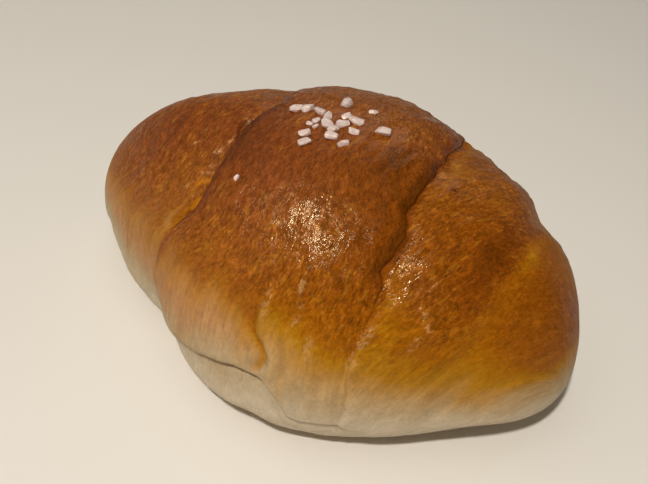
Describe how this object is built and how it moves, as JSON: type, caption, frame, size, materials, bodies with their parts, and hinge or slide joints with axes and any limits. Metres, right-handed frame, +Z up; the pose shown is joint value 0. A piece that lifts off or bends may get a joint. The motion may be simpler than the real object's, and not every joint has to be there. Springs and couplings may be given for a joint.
{
  "type": "salt bread roll",
  "caption": "Plump baked bread roll of rolled-up dough with tapered ends, overlapping crust layers and coarse salt on top; food that rests on its flat base.",
  "frame": {"origin": "centre of the bounding box in plan, at the flat base", "axes": "+X along the roll towards its blunter right end, -Y towards the front with the open hem, +Z up"},
  "size_m": [0.128, 0.0876, 0.0602],
  "materials": {
    "crust": "glossy baked crust, brown on top and cream at the base",
    "salt": "translucent white crystals"
  },
  "bodies": {
    "root": {"roll": "crust"}
  },
  "joints": []
}
